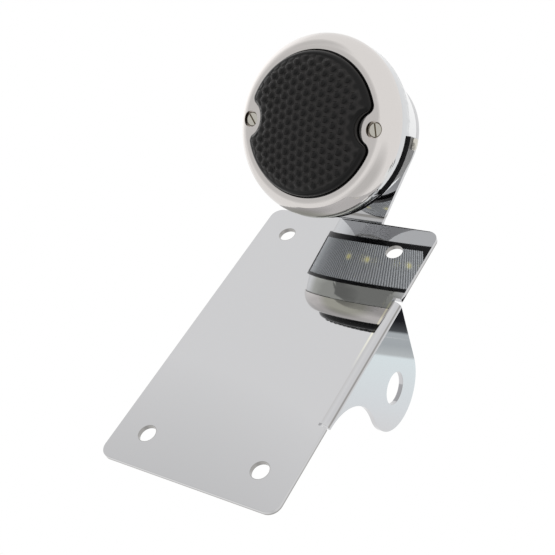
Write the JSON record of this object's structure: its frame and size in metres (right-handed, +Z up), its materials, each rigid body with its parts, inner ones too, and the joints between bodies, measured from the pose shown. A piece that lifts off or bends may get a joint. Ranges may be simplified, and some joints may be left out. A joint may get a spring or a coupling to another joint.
{
  "type": "tail light with plate bracket",
  "caption": "Side-mount licence plate bracket folded from chromed sheet, with a round tail lamp on its upper tab and a lit window over the plate.",
  "frame": {"origin": "centre of the axle hole, on the outer face of the side ear", "axes": "+X along the axle hole, out of the ear's outer face; +Z up; the lamp faces -Y, level, and the plate's lower edge leans forward"},
  "size_m": [0.1084, 0.1457, 0.225],
  "materials": {
    "chrome_sheet": "polished",
    "chrome_casting": "polished",
    "chrome_bezel": "polished",
    "smoked_lens": "gloss",
    "clear_lens": "gloss",
    "black_plastic": "matte",
    "rubber": "matte",
    "plated_steel": "satin",
    "board": "matte",
    "led": "gloss",
    "white_plastic": "matte"
  },
  "bodies": {
    "root": {"plate_bracket": "chrome_sheet", "lamp_drum": "chrome_casting", "lamp_bezel": "chrome_bezel", "bezel_screws": "plated_steel", "tail_lens": "smoked_lens", "lens_gasket": "rubber", "window_frame": "black_plastic", "window_lens": "clear_lens", "window_clips": "plated_steel", "tail_led_board": "board", "tail_leds": "led", "board_screws": "plated_steel", "strip_cradle": "white_plastic", "cradle_screws": "plated_steel", "plate_led_strip": "board", "plate_leds": "led", "base_pad": "rubber", "fixing_studs": "plated_steel", "fixing_washers": "plated_steel", "spring_washers": "plated_steel", "fixing_nuts": "plated_steel", "wire_grommet": "rubber"}
  },
  "joints": []
}
